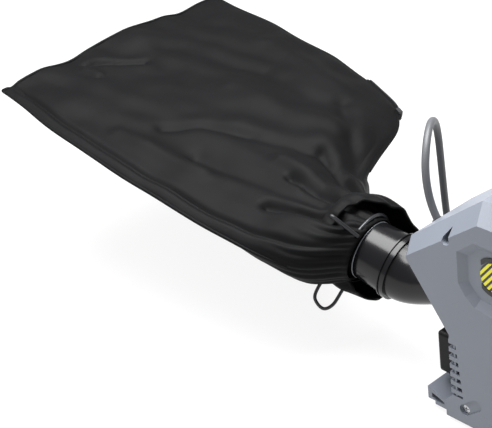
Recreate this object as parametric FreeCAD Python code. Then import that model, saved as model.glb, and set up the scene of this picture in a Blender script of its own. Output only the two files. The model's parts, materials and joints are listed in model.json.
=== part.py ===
import FreeCAD, Part
import math
import os

# Hand-held electric leaf vacuum mulcher, in millimetres. +X runs forward to the nozzle, +Y to the
# machine's left and +Z up. The origin is on the floor, in the plane where the two housing halves
# meet. A motor and an impeller turn on one shaft along X. Leaves come in at the front through the
# nozzle, are cut by the blade, and leave through a duct over the motor and a port into the bag.

V = FreeCAD.Vector
os.makedirs("parts", exist_ok=True)

# --- driving dimensions -------------------------------------------------------------------------
# housing
HALF_WIDTH = 62.0            # split plane to each flat side
RIM_HALF_WIDTH = 44.0        # split plane to the outer edge of the bevel
WALL = 2.5
FLOOR_GAP = 4.0              # the skid's thickness under the housing
PLATE_TOP = 237.4            # top edge of the flat side
ROOF_TOP = 253.0             # the roof between the bevels
REAR_WALL_X = -65.0
FRONT_X = 92.0
DRUM_R = 70.0                # outside of the bulge around the fan
SHAFT_Z = DRUM_R + FLOOR_GAP  # height of the motor and fan shaft
DRUM_REAR_X = 26.0
# sunken panel, vents and screws on the sides
PANEL_X = -5.0
LABEL_X = -11.8              # centre of the round label
LABEL_Z = 184.5
PANEL_Z = 182.0
PANEL_DEPTH = 6.0
PANEL_SLOPE = 8.0
VENT_COUNT = 7
VENT_PITCH = 9.7
VENT_BAR = 4.6
VENT_TOP_Z = 101.0
SCREW_POINTS = [(-63.0, 208.5), (-50.0, 21.0), (8.0, 17.0), (62.0, 222.0)]
SCREW_SEATS = [46.0, 56.0, 54.0, 54.0]     # distance of each head's seat from the split plane
SCREW_R = 2.0
SCREW_REACH = 14.0           # how far each screw goes past the split plane
SCREW_HEAD_R = 4.3
SCREW_HEAD_H = 3.0
POCKET_R = 4.7
BOSS_R = 6.6
# fan
VOLUTE_R = DRUM_R - WALL - 0.5
VOLUTE_WALL = 2.0
VOLUTE_X0 = 36.0
VOLUTE_X1 = 88.0
TIP_GAP = 7.0                # impeller to volute
IMPELLER_R = VOLUTE_R - VOLUTE_WALL - TIP_GAP
IMPELLER_X = 40.0
VANE_COUNT = 8
VANE_HEIGHT = 21.0
BLADE_THICKNESS = 2.5
WASHER_THICKNESS = 1.5
# motor
SHAFT_R = 4.0
SHAFT_X0 = -52.0
SHAFT_X1 = 77.0
MOTOR_R = 28.5
STATOR_R = 26.0
ROTOR_R = 15.0
RUNNING_GAP = 0.05           # radial clearance of a shaft in its bore
AIR_GAP = 0.6
# ducts
DUCT_R = 24.0
DUCT_WALL = 1.8
DUCT_PATH = [(-88, 4, 118), (-68, 4.4, 121), (-4, 10, 178), (60, 26, 182), (60, 26, 100)]
COLLAR_R = 44.0
TUBE_GAP = 0.4
TUBE_WALL = 2.0
TUBE_X0 = 98.0
TUBE_X1 = 390.0
NOZZLE_X1 = 476.0
SOCKET_LENGTH = 36.0         # how much of the tube the nozzle covers
WHEEL_R = 16.0
WHEEL_X = 376.0
AXLE_R = 3.0
# outlet port and bag, in the port's own frame: x runs along it towards the machine
PORT_RIM = V(-221.3, -4.0, 113.0)
PORT_YAW = 7.0
PORT_PITCH = 14.0
SLEEVE_RIM_R = 32.5
SLEEVE_STEP_R = SLEEVE_RIM_R + 1.8
SLEEVE_LENGTH = 34.1
SLEEVE_WALL = 2.0
SPIGOT_R = SLEEVE_RIM_R - 0.5  # the part of the sleeve that the bag's throat covers
SPIGOT_LENGTH = 20.0
STEP_RING_R = SLEEVE_STEP_R + 2.2
STEP_RING_LENGTH = 8.0
BASE_END = V(-88.0, 4.0, 118.0)
CLAMP_X = -6.0
CLAMP_WIRE_R = 1.9
CLAMP_RING_R = SLEEVE_RIM_R + 5.4
BAG_WALL = 1.3
# mains cord
CORD_R = 4.0
COIL_CENTRE = V(14.0, 168.0, 0.0)
COIL_MEAN_R = 44.0
COIL_ACROSS = 3              # turns side by side
COIL_LAYERS = 2

PORT_FRAME = FreeCAD.Placement(PORT_RIM, FreeCAD.Rotation(V(0, 0, 1), PORT_YAW)
                               * FreeCAD.Rotation(V(0, 1, 0), PORT_PITCH))

# Outlines of the right half in X and Z: the flat side, and the outer edge of its bevel.
SIDE_OUTLINE = [
    (-114.5, 171.5), (-112.5, 174.8), (-24.4, PLATE_TOP), (60.0, PLATE_TOP), (78.0, 218.0),
    (78.0, 12.0), (70.0, FLOOR_GAP), (-74.0, FLOOR_GAP), (-74.0, 22.0),
    (REAR_WALL_X, 32.0), (REAR_WALL_X, 103.6)]
RIM_OUTLINE = [
    (-127.5, 170.5), (-121.8, 185.4), (-31.0, ROOF_TOP), (66.0, ROOF_TOP), (FRONT_X, 226.0),
    (FRONT_X, 12.0), (84.0, FLOOR_GAP), (-74.0, FLOOR_GAP), (-74.0, 22.0),
    (REAR_WALL_X, 32.0), (REAR_WALL_X, 103.6)]


# --- helpers ------------------------------------------------------------------------------------
def box(x0, x1, y0, y1, z0, z1):
    return Part.makeBox(x1 - x0, y1 - y0, z1 - z0, V(x0, y0, z0))


def cylinder(radius, length, start, direction=V(1, 0, 0)):
    return Part.makeCylinder(radius, length, V(*start), direction)


def ring(r_outer, r_inner, length, start, direction=V(1, 0, 0)):
    return cylinder(r_outer, length, start, direction).cut(cylinder(r_inner, length, start, direction))


def wire_xz(points, y):
    corners = [V(x, y, z) for x, z in points]
    return Part.makePolygon(corners + corners[:1])


def prism_y(points, y0, y1):
    return Part.Face(wire_xz(points, y0)).extrude(V(0, y1 - y0, 0))


def loft(wires):
    return Part.makeLoft(wires, True, True)


def inset(points, distance):
    """The outline moved inwards by distance, corner by corner."""
    area = sum(a[0] * b[1] - b[0] * a[1] for a, b in zip(points, points[1:] + points[:1]))
    side = 1.0 if area > 0 else -1.0
    moved = []
    for before, here, after in zip(points[-1:] + points[:-1], points, points[1:] + points[:1]):
        normals = []
        for a, b in ((before, here), (here, after)):
            length = math.hypot(b[0] - a[0], b[1] - a[1])
            normals.append((-side * (b[1] - a[1]) / length, side * (b[0] - a[0]) / length))
        (ax, az), (bx, bz) = normals
        scale = distance / (1.0 + ax * bx + az * bz)
        moved.append((here[0] + (ax + bx) * scale, here[1] + (az + bz) * scale))
    return moved


def mirrored(shape):
    return shape.mirror(V(0, 0, 0), V(0, 1, 0))


def in_port(shape):
    """Move a shape from the port's own frame to the machine's."""
    placed = shape.copy()
    placed.Placement = PORT_FRAME.multiply(shape.Placement)
    return placed


def path_wire(points, radii=None, report=None):
    """Straight runs joined by tangent arcs. Each arc is as large as its two runs allow."""
    corners = [V(*p) for p in points]
    edges = []
    start = corners[0]
    for i in range(1, len(corners) - 1):
        before, here, after = corners[i - 1], corners[i], corners[i + 1]
        into = (here - before).normalize()
        out = (after - here).normalize()
        turn = into.getAngle(out)
        run = min((here - before).Length, (after - here).Length)
        radius = 0.45 * run / math.tan(turn / 2)
        if radii and radii.get(i):
            radius = radii[i]
        if report is not None:
            report.append(round(radius, 1))
        setback = radius * math.tan(turn / 2)
        a = here - into * setback
        b = here + out * setback
        towards_centre = (out - into).normalize()
        centre = here + towards_centre * (radius / math.cos(turn / 2))
        middle = centre - towards_centre * radius
        if (a - start).Length > 1e-4:
            edges.append(Part.LineSegment(start, a).toShape())
        edges.append(Part.Arc(a, middle, b).toShape())
        start = b
    edges.append(Part.LineSegment(start, corners[-1]).toShape())
    return Part.Wire(edges)


def tube_along(points, radius, report=None, radii=None):
    path = path_wire(points, radii, report)
    direction = (V(*points[1]) - V(*points[0])).normalize()
    profile = Part.Wire([Part.makeCircle(radius, V(*points[0]), direction)])
    return path.makePipeShell([profile], True, True)


def export(node, shape):
    shape.exportStep("parts/" + node + ".step")


# --- housing ------------------------------------------------------------------------------------
def half_block(distance):
    """The right half's outer body, or its cavity when distance is the wall."""
    side = inset(SIDE_OUTLINE, distance)
    rim = inset(RIM_OUTLINE, distance)
    bevel = loft([wire_xz(side, -(HALF_WIDTH - distance)), wire_xz(rim, -RIM_HALF_WIDTH)])
    middle = prism_y(rim, -RIM_HALF_WIDTH, 0)
    radius = DRUM_R - distance
    drum = cylinder(radius, FRONT_X - DRUM_REAR_X - distance, (DRUM_REAR_X, 0, SHAFT_Z))
    cone = Part.makeCone(radius - 12, radius, 14, V(DRUM_REAR_X - 14, 0, SHAFT_Z), V(1, 0, 0))
    right_side = box(-200, 200, -200, 0, -50, 400)
    return bevel.fuse([middle, drum.common(right_side), cone.common(right_side)]).removeSplitter()


def panel_recess(grow):
    """The sunken panel's tool: sloping walls down to a smaller flat floor."""
    half = [(0.0, 35.5), (24.6, 35.5), (44.8, 20.2), (44.8, -14.0), (36.5, -26.0), (26.4, -34.5),
            (6.0, -37.0)]
    outline = [(PANEL_X + x, PANEL_Z + z) for x, z in half[1:]]
    outline += [(PANEL_X - x, PANEL_Z + z) for x, z in reversed(half[1:])]
    slope_top = inset(outline, -grow)
    slope_foot = inset(outline, PANEL_SLOPE - grow)
    outside = prism_y(slope_top, -HALF_WIDTH - 1, -HALF_WIDTH)
    sloped = loft([wire_xz(slope_top, -HALF_WIDTH),
                   wire_xz(slope_foot, -(HALF_WIDTH - PANEL_DEPTH - grow))])
    return outside.fuse(sloped)


def screw_pockets():
    """Open pockets down to each screw's seat. The rear top one runs out over the bevel."""
    tools = []
    for (x, z), seat in zip(SCREW_POINTS, SCREW_SEATS):
        tools.append(cylinder(POCKET_R, 60, (x, -seat - 60, z), V(0, 1, 0)))
    x, z = SCREW_POINTS[0]
    tip = [(x - POCKET_R * 0.93, z + 1.6), (x + 3.4, z + 13), (x + POCKET_R * 0.97, z + 1.2)]
    tools.append(prism_y(tip, -HALF_WIDTH - 10, -SCREW_SEATS[0]))
    return tools


def slot_pocket():
    """The shallow inclined slot around the rear bottom screw."""
    x, z = SCREW_POINTS[1]
    radius = 6.2
    angle = math.radians(39)
    far = (x + 19 * math.cos(angle), z + 19 * math.sin(angle))
    side = (-math.sin(angle) * radius, math.cos(angle) * radius)
    bar = [(x - side[0], z - side[1]), (far[0] - side[0], far[1] - side[1]),
           (far[0] + side[0], far[1] + side[1]), (x + side[0], z + side[1])]
    ends = [cylinder(radius, 3, (cx, -HALF_WIDTH - 1, cz), V(0, 1, 0)) for cx, cz in ((x, z), far)]
    return prism_y(bar, -HALF_WIDTH - 1, -HALF_WIDTH + 2).fuse(ends)


def vent_cut():
    low = VENT_TOP_Z - VENT_COUNT * VENT_PITCH
    outline = [(REAR_WALL_X - 5, VENT_TOP_Z), (-57.5, VENT_TOP_Z - 6), (-51.5, low + 4),
               (-51.5, low), (REAR_WALL_X - 5, low)]
    return prism_y(outline, -HALF_WIDTH - 2, -RIM_HALF_WIDTH + 2)


def vent_bars():
    """Bars that wrap around the corner opening, and the upright that ties them together."""
    low = VENT_TOP_Z - VENT_COUNT * VENT_PITCH
    tip_x = REAR_WALL_X - 1.8
    grille = [box(-61.0, -58.8, -HALF_WIDTH + 0.8, -HALF_WIDTH + 3.4, low - 0.5, VENT_TOP_Z)]
    for i in range(VENT_COUNT):
        z = VENT_TOP_Z - 2.4 - VENT_BAR - i * VENT_PITCH
        bar = box(tip_x, -51, -HALF_WIDTH, -HALF_WIDTH + 4, z, z + VENT_BAR)
        bar = bar.fuse(box(tip_x, REAR_WALL_X + 2.5, -HALF_WIDTH, -RIM_HALF_WIDTH + 1.5, z, z + VENT_BAR))
        corner = [e for e in bar.Edges if abs(e.CenterOfMass.x - tip_x) < 0.01
                  and abs(e.CenterOfMass.y + HALF_WIDTH) < 0.01]
        grille.append(bar.makeFillet(1.5, corner))
    return grille


def bosses(hole_r, back_to_front):
    """Screw posts inside one half, and the holes through them."""
    posts = []
    holes = []
    for x, z in SCREW_POINTS:
        posts.append(cylinder(BOSS_R, HALF_WIDTH, (x, -HALF_WIDTH, z), V(0, 1, 0)))
        holes.append(cylinder(hole_r, back_to_front, (x, -back_to_front, z), V(0, 1, 0)))
    inside = half_block(0.2)
    return [post.common(inside) for post in posts], holes


def housing_half():
    """The right half without its screw pockets, which only that side has."""
    shell = half_block(0).cut(half_block(WALL).cut(panel_recess(WALL)))
    shell = shell.cut(panel_recess(0)).cut(vent_cut()).fuse(vent_bars())
    shell = shell.fuse(relief_boss())
    front_hole = cylinder(60.0, 20, (FRONT_X - 10, 0, SHAFT_Z))
    threads = [cylinder(2.05, 10, p, V(1, 0, 0)) for p in cover_screw_points(FRONT_X - 5)]
    return shell.cut([front_hole] + threads)


def relief_boss():
    """A block inside the rear nose that holds the cord's strain relief."""
    start = relief_seat()
    block = cylinder(9.5, 16, start - relief_direction() * 12, relief_direction())
    return block.common(box(-200, 0, -20, 0, 100, 300))


def shared_holes():
    """Where the duct and the cord leave, cut through both halves."""
    first, second = V(*DUCT_PATH[0]), V(*DUCT_PATH[1])
    outward = (first - second).normalize()
    duct = tube_along(DUCT_PATH[:3], DUCT_R + 0.4).fuse(cylinder(DUCT_R + 0.4, 30, first, outward))
    relief = cylinder(6.3, 60, relief_seat(), relief_direction())
    flange = cylinder(8.0, 3.2, relief_seat(), relief_direction())
    return [duct, relief, flange]


def housing_right():
    posts, holes = bosses(SCREW_R + 0.2, HALF_WIDTH)
    body = housing_half().fuse(posts)
    return body.cut(screw_pockets() + [slot_pocket()] + holes + shared_holes())


def housing_left():
    posts, holes = bosses(SCREW_R + 0.05, SCREW_REACH)
    body = housing_half().fuse(posts).cut(holes)
    dial_hole = cylinder(3.1, 20, (PANEL_X, HALF_WIDTH - 15, PANEL_Z), V(0, 1, 0))
    return mirrored(body).cut([dial_hole] + shared_holes())


def housing_screws():
    screws = []
    for (x, z), seat in zip(SCREW_POINTS, SCREW_SEATS):
        top = seat + SCREW_HEAD_H
        head = cylinder(SCREW_HEAD_R, SCREW_HEAD_H, (x, -top, z), V(0, 1, 0))
        cross = [box(x - 2.6, x + 2.6, -top, -top + 1.5, z - 0.5, z + 0.5),
                 box(x - 0.5, x + 0.5, -top, -top + 1.5, z - 2.6, z + 2.6)]
        shank = cylinder(SCREW_R, seat + SCREW_REACH - 1, (x, -seat, z), V(0, 1, 0))
        screws.append(head.cut(cross).fuse(shank))
    return Part.makeCompound(screws)


def panel_disc():
    floor_y = -(HALF_WIDTH - PANEL_DEPTH)
    return cylinder(15.0, 1.2, (LABEL_X, floor_y - 1.2, LABEL_Z), V(0, 1, 0))


def panel_arcs():
    """Two curved bars, over and under the disc."""
    floor_y = -(HALF_WIDTH - PANEL_DEPTH)
    band = ring(20.5, 16.2, 1.0, (LABEL_X, floor_y - 1.0, LABEL_Z), V(0, 1, 0))
    bars = []
    for z0, z1 in ((LABEL_Z + 10, LABEL_Z + 24), (LABEL_Z - 24, LABEL_Z - 10)):
        bars.append(band.common(box(LABEL_X - 14, LABEL_X + 14, floor_y - 2, floor_y + 1, z0, z1)))
    return Part.makeCompound(bars)


def speed_dial():
    y = HALF_WIDTH - PANEL_DEPTH + 0.4
    knob = cylinder(16.0, 10, (PANEL_X, y, PANEL_Z), V(0, 1, 0))
    knob = knob.makeFillet(1.5, [e for e in knob.Edges if e.CenterOfMass.y > y + 9])
    spindle = cylinder(3.0, 9, (PANEL_X, y - 9, PANEL_Z), V(0, 1, 0))
    mark = box(PANEL_X - 1, PANEL_X + 1, y + 8.8, y + 11, PANEL_Z + 5, PANEL_Z + 14)
    return knob.fuse(spindle).cut(mark)


def rear_bumper():
    block = box(-99.5, REAR_WALL_X - 0.2, -42, 42, 35, 83)
    edges = [e for e in block.Edges if e.CenterOfMass.x < -70]
    return block.makeFillet(4.0, edges)


def foot_bracket():
    outline = [(-101, 10), (-101, 24.5), (-80, 16.5), (-74.2, 16.5), (-74.2, 6), (-92, 6), (-92, 10)]
    slot = [(-96, 13.5), (-96, 18.5), (-86, 15.5), (-80, 13.0), (-80, 10.5), (-90, 10.5)]
    return prism_y(outline, -58, 58).cut(prism_y(slot, -60, 60))


def base_skid():
    pad = box(-66, 72, -36, 36, 0, FLOOR_GAP)
    return pad.makeFillet(2.0, [e for e in pad.Edges if abs(e.CenterOfMass.z) < 0.1])


# --- motor and fan ------------------------------------------------------------------------------
def motor_can():
    can = ring(MOTOR_R, STATOR_R, 80, (SHAFT_X0 + 2, 0, SHAFT_Z))
    rear = Part.makeCone(MOTOR_R - 5, MOTOR_R, 4, V(SHAFT_X0 - 2, 0, SHAFT_Z), V(1, 0, 0))
    rear = rear.cut(cylinder(9.0, 10, (SHAFT_X0 - 5, 0, SHAFT_Z)))
    front = ring(MOTOR_R, 11.0, 5, (SHAFT_X0 + 82, 0, SHAFT_Z))
    can = can.fuse([rear, front])
    slots = []
    for i in range(6):
        slot = box(-46, -32, -4, 4, SHAFT_Z + 20, SHAFT_Z + 40)
        slot.rotate(V(0, 0, SHAFT_Z), V(1, 0, 0), 60 * i)
        slots.append(slot)
    return can.cut(slots)


def stator():
    return ring(STATOR_R - 0.05, ROTOR_R + AIR_GAP, 44, (-28, 0, SHAFT_Z))


def rotor():
    core = cylinder(ROTOR_R, 42, (-27, 0, SHAFT_Z))
    slots = []
    for i in range(12):
        slot = box(-28, 16, -1.0, 1.0, SHAFT_Z + ROTOR_R - 4, SHAFT_Z + ROTOR_R + 1)
        slot.rotate(V(0, 0, SHAFT_Z), V(1, 0, 0), 30 * i)
        slots.append(slot)
    return core.cut(slots).cut(cylinder(SHAFT_R, 60, (-35, 0, SHAFT_Z)))


def commutator():
    return ring(9.0, SHAFT_R, 12, (-42, 0, SHAFT_Z))


def motor_shaft():
    return cylinder(SHAFT_R, SHAFT_X1 - SHAFT_X0, (SHAFT_X0, 0, SHAFT_Z))


def brush_holders():
    holders = []
    for side in (-1, 1):
        y0, y1 = sorted((side * (9.2), side * 19.0))
        holders.append(box(-39.5, -33.5, y0, y1, SHAFT_Z - 4, SHAFT_Z + 4))
    return Part.makeCompound(holders)


def bearing(radius, x0, x1):
    return ring(radius, SHAFT_R + RUNNING_GAP, x1 - x0, (x0, 0, SHAFT_Z))


def motor_plate():
    """The plate that carries the motor's front end and closes the fan chamber behind."""
    plate = ring(VOLUTE_R, 8.0, 1.0, (VOLUTE_X0 - 1.0, 0, SHAFT_Z))
    return plate


def fan_volute():
    x0, x1 = VOLUTE_X0, VOLUTE_X1
    drum = ring(VOLUTE_R, VOLUTE_R - VOLUTE_WALL, x1 - x0, (x0, 0, SHAFT_Z))
    back = ring(VOLUTE_R, 8.0, 2.0, (x0, 0, SHAFT_Z))
    outlet = cylinder(DUCT_R - DUCT_WALL, 100, (60, 26, SHAFT_Z + 30), V(0, 0, 1))
    return drum.fuse(back).cut(outlet)


def discharge_duct():
    outer = tube_along(DUCT_PATH, DUCT_R)
    inner = tube_along(DUCT_PATH, DUCT_R - DUCT_WALL)
    return outer.cut(inner).cut(cylinder(VOLUTE_R + 0.1, 80, (20, 0, SHAFT_Z)))


def impeller():
    disc = cylinder(IMPELLER_R, 2.5, (IMPELLER_X, 0, SHAFT_Z))
    hub = cylinder(11.0, VANE_HEIGHT, (IMPELLER_X, 0, SHAFT_Z))
    vanes = []
    for i in range(VANE_COUNT):
        vane = box(IMPELLER_X, IMPELLER_X + VANE_HEIGHT, -1.2, 1.2, SHAFT_Z + 9, SHAFT_Z + IMPELLER_R - 1)
        vane.rotate(V(0, 6, SHAFT_Z + 9), V(1, 0, 0), -22)
        vane.rotate(V(0, 0, SHAFT_Z), V(1, 0, 0), 360.0 / VANE_COUNT * i)
        vanes.append(vane)
    body = disc.fuse([hub] + vanes)
    body = body.common(cylinder(IMPELLER_R, 80, (IMPELLER_X - 5, 0, SHAFT_Z)))
    return body.cut(cylinder(SHAFT_R, 60, (IMPELLER_X - 5, 0, SHAFT_Z)))


def blade_x():
    return IMPELLER_X + VANE_HEIGHT + 0.2


def mulching_blade():
    x = blade_x()
    half = IMPELLER_R - 8.0
    outline = [(-half, -7), (half - 12, -9), (half, -3), (half, 7), (-half + 12, 9), (-half, 3)]
    corners = [V(x, y, SHAFT_Z + z) for y, z in outline]
    plate = Part.Face(Part.makePolygon(corners + corners[:1])).extrude(V(BLADE_THICKNESS, 0, 0))
    return plate.cut(cylinder(SHAFT_R, 30, (x - 5, 0, SHAFT_Z)))


def fan_washer():
    return ring(9.0, SHAFT_R, WASHER_THICKNESS, (blade_x() + BLADE_THICKNESS, 0, SHAFT_Z))


def fan_nut():
    x = blade_x() + BLADE_THICKNESS + WASHER_THICKNESS
    hexagon = [V(x, 7 * math.cos(math.radians(60 * i)), SHAFT_Z + 7 * math.sin(math.radians(60 * i)))
               for i in range(6)]
    nut = Part.Face(Part.makePolygon(hexagon + hexagon[:1])).extrude(V(7, 0, 0))
    return nut.cut(cylinder(SHAFT_R, 30, (x - 5, 0, SHAFT_Z)))


# --- front: cover, tube, nozzle -----------------------------------------------------------------
def intake_cover():
    flange = ring(66.0, COLLAR_R - TUBE_WALL, 4, (FRONT_X + 0.2, 0, SHAFT_Z))
    collar = ring(COLLAR_R, COLLAR_R - TUBE_WALL, 40, (FRONT_X + 0.2, 0, SHAFT_Z))
    spigot = ring(59.0, 57.0, 3.5, (FRONT_X - 3, 0, SHAFT_Z))
    holes = [cylinder(2.2, 20, p, V(1, 0, 0)) for p in cover_screw_points(FRONT_X - 5)]
    return flange.fuse([collar, spigot]).cut(holes)


def cover_screw_points(x):
    return [(x, 62.5 * math.cos(math.radians(a)), SHAFT_Z + 62.5 * math.sin(math.radians(a)))
            for a in (45, 135, 225, 315)]


def cover_screws():
    screws = []
    for x, y, z in cover_screw_points(FRONT_X + 4.2):
        screws.append(cylinder(3.6, 2.4, (x, y, z)).fuse(cylinder(2.0, 7, (x - 7, y, z))))
    return Part.makeCompound(screws)


def suction_tube():
    inner = COLLAR_R + TUBE_GAP
    tube = ring(inner + TUBE_WALL, inner, TUBE_X1 - TUBE_X0, (TUBE_X0, 0, SHAFT_Z))
    bead = ring(inner + TUBE_WALL + 2.2, inner + TUBE_WALL - 0.5, 10, (TUBE_X0, 0, SHAFT_Z))
    return tube.fuse(bead)


def rounded_rectangle(x, half_y, z0, z1, r):
    """A rounded rectangle across X, as a wire of four lines and four arcs."""
    cz = (z0 + z1) / 2
    half_z = (z1 - z0) / 2
    corners = [(half_y - r, half_z - r, 0), (-half_y + r, half_z - r, 90),
               (-half_y + r, -half_z + r, 180), (half_y - r, -half_z + r, 270)]
    edges = []
    last = None
    first = None
    for cy, dz, a0 in corners:
        pts = [V(x, cy + r * math.cos(math.radians(a)), cz + dz + r * math.sin(math.radians(a)))
               for a in (a0, a0 + 45, a0 + 90)]
        if last is not None:
            edges.append(Part.LineSegment(last, pts[0]).toShape())
        else:
            first = pts[0]
        edges.append(Part.Arc(*pts).toShape())
        last = pts[2]
    edges.append(Part.LineSegment(last, first).toShape())
    return Part.Wire(edges)


def nozzle():
    inner = COLLAR_R + TUBE_GAP
    outer = inner + TUBE_WALL
    x0, x1 = TUBE_X1, NOZZLE_X1

    def body(grow):
        r0 = outer + 2 + grow
        back = rounded_rectangle(x0 + 14, r0, SHAFT_Z - r0, SHAFT_Z + r0, r0 - 0.5)
        mid = rounded_rectangle(x0 + 50, 54 + grow, 17 - grow, SHAFT_Z + 40 + grow, 24)
        front = rounded_rectangle(x1, 66 + grow, 9 - grow, SHAFT_Z + 16 + grow, 18)
        return Part.makeLoft([back, mid, front], True, False)

    shell = body(0).cut(body(-2.2))
    socket = ring(outer + 2, outer + 0.05, SOCKET_LENGTH, (x0 + 14.2 - SOCKET_LENGTH, 0, SHAFT_Z))
    mouth = box(x1 - 2, x1 + 60, -100, 100, -80, 220)
    mouth.rotate(V(x1 - 2, 0, 6), V(0, 1, 0), -24)
    shell = shell.cut(mouth).fuse(socket)
    lugs = []
    for side in (-1, 1):
        y0, y1 = sorted((side * 20, side * 25))
        lug = box(WHEEL_X - 5, WHEEL_X + 7, y0, y1, WHEEL_R - 6, 40)
        lugs.append(lug.cut(cylinder(AXLE_R, 20, (WHEEL_X, y0 - 5, WHEEL_R), V(0, 1, 0))))
    keep_out = body(-2.2).fuse(cylinder(outer + 0.05, 60, (x0 - 30, 0, SHAFT_Z)))
    return shell.fuse([lug.cut(keep_out) for lug in lugs])


def nozzle_axle():
    return cylinder(AXLE_R, 84, (WHEEL_X, -42, WHEEL_R), V(0, 1, 0))


def nozzle_wheel(side):
    y0, y1 = sorted((side * 26.0, side * 39.0))
    tyre = ring(WHEEL_R, AXLE_R + RUNNING_GAP, y1 - y0, (WHEEL_X, y0, WHEEL_R), V(0, 1, 0))
    dish = ring(WHEEL_R - 4, 6, 2.5, (WHEEL_X, (y0 if side < 0 else y1 - 2.5), WHEEL_R), V(0, 1, 0))
    return tyre.cut(dish)


def axle_caps():
    caps = []
    for side in (-1, 1):
        y0, y1 = sorted((side * 39.3, side * 43.5))
        cap = ring(6.0, AXLE_R, 2.7, (WHEEL_X, y0 if side > 0 else y1 - 2.7, WHEEL_R), V(0, 1, 0))
        caps.append(cap)
    return Part.makeCompound(caps)


# --- handle -------------------------------------------------------------------------------------
HANDLE_HALF_WIDTH = 15.0
HANDLE_OUTER = [(-20, ROOF_TOP + 0.2), (-22, 314), (-12, 332), (76, 348), (97, 335), (98, 316),
                (66, ROOF_TOP + 0.2)]
HANDLE_GAP = [(0, ROOF_TOP + 8), (-3, 300), (60, 312), (75, 306), (50, ROOF_TOP + 8)]
TRIGGER_PIVOT = (64.0, 321.0)
LOCK_POINT = (56.0, 333.0)
HANDLE_SCREW_POINTS = [(-12.5, 285.0), (84.0, 322.0)]


def handle_block(distance):
    outer = prism_y(inset(HANDLE_OUTER, distance), -HANDLE_HALF_WIDTH + distance, 0)
    gap = prism_y(inset(HANDLE_GAP, -distance), -HANDLE_HALF_WIDTH, 0)
    return outer.cut(gap)


def handle_half():
    """The right half of the hollow handle."""
    solid = handle_block(0)
    rounded = [e for e in solid.Edges if abs(e.CenterOfMass.y + HANDLE_HALF_WIDTH) < 0.01]
    solid = solid.makeFillet(3.5, rounded)
    shell = solid.cut(handle_block(WALL))
    pivot_x, pivot_z = TRIGGER_PIVOT
    post = cylinder(4.5, HANDLE_HALF_WIDTH - 6.6 - 1, (pivot_x, -HANDLE_HALF_WIDTH + 1, pivot_z),
                    V(0, 1, 0))
    slot = box(22, 71, -6.6, 1, 300, 318)
    screw_posts = [cylinder(3.8, HANDLE_HALF_WIDTH - 1, (x, 1 - HANDLE_HALF_WIDTH, z), V(0, 1, 0))
                   for x, z in HANDLE_SCREW_POINTS]
    screw_holes = [cylinder(1.7, HANDLE_HALF_WIDTH + 1, (x, -HANDLE_HALF_WIDTH, z), V(0, 1, 0))
                   for x, z in HANDLE_SCREW_POINTS]
    return shell.fuse([post] + screw_posts).cut([slot] + screw_holes)


def handle_right():
    pivot_x, pivot_z = TRIGGER_PIVOT
    pin_hole = cylinder(1.5, 20, (pivot_x, -12, pivot_z), V(0, 1, 0))
    return handle_half().cut(pin_hole)


def handle_left():
    pivot_x, pivot_z = TRIGGER_PIVOT
    pin_hole = cylinder(1.5, 24, (pivot_x, -12, pivot_z), V(0, 1, 0))
    button_hole = cylinder(4.2, 20, (LOCK_POINT[0], 5, LOCK_POINT[1]), V(0, 1, 0))
    return mirrored(handle_half()).cut(pin_hole).cut(button_hole)


def handle_screws():
    screws = []
    for x, z in HANDLE_SCREW_POINTS:
        head = cylinder(3.4, 2.0, (x, -HANDLE_HALF_WIDTH - 2.0, z), V(0, 1, 0))
        screws.append(head.fuse(cylinder(1.6, 26, (x, -HANDLE_HALF_WIDTH, z), V(0, 1, 0))))
    return Part.makeCompound(screws)


def grip():
    """A soft pad over the top of the handle."""
    start, end = HANDLE_OUTER[2], HANDLE_OUTER[3]
    dx, dz = end[0] - start[0], end[1] - start[1]
    length = math.hypot(dx, dz)
    up = (-dz / length, dx / length)

    def along(share, lift):
        return (start[0] + dx * share + up[0] * lift, start[1] + dz * share + up[1] * lift)

    pad = prism_y([along(0.10, 0.1), along(0.92, 0.1), along(0.90, 3.2), along(0.12, 3.2)], -9.5, 9.5)
    return pad.makeFillet(1.2, [e for e in pad.Edges if abs(e.CenterOfMass.y) > 9])


def trigger():
    px, pz = TRIGGER_PIVOT
    outline = [(px + 4, pz + 4), (px - 4, pz + 4), (px - 30, pz - 6), (px - 34, pz - 14),
               (px - 30, pz - 20), (px - 14, pz - 19), (px + 2, pz - 13), (px + 5, pz - 4)]
    lever = prism_y(outline, -6, 6)
    lever = lever.makeFillet(1.5, [e for e in lever.Edges if abs(abs(e.CenterOfMass.y) - 6) < 0.01])
    return lever.cut(cylinder(1.5 + RUNNING_GAP, 20, (px, -10, pz), V(0, 1, 0)))


def trigger_pin():
    return cylinder(1.5, 23, (TRIGGER_PIVOT[0], -11.5, TRIGGER_PIVOT[1]), V(0, 1, 0))


def switch_module():
    body = box(8, 44, -8, 8, 323, 332)
    plunger = cylinder(1.5, 1.5, (42, 0, 321.6), V(0, 0, 1))
    return body.fuse(plunger)


def trigger_spring():
    return ring(2.4, 1.5, 6.4, (34.0, 0, 316.4), V(0, 0, 1))


def lock_button():
    x, z = LOCK_POINT
    button = cylinder(4.0, 8.5, (x, 9.5, z), V(0, 1, 0))
    button = button.makeFillet(1.0, [e for e in button.Edges if e.CenterOfMass.y > 17.9])
    return button.fuse(cylinder(5.5, 1.5, (x, 8.0, z), V(0, 1, 0)))


# --- outlet port and bag ------------------------------------------------------------------------
def port_circle(x, radius):
    """A circle around the port's axis, placed in the machine's frame."""
    centre = PORT_FRAME.multVec(V(x, 0, 0))
    normal = PORT_FRAME.Rotation.multVec(V(1, 0, 0))
    return Part.Wire([Part.makeCircle(radius, centre, normal)])


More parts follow.
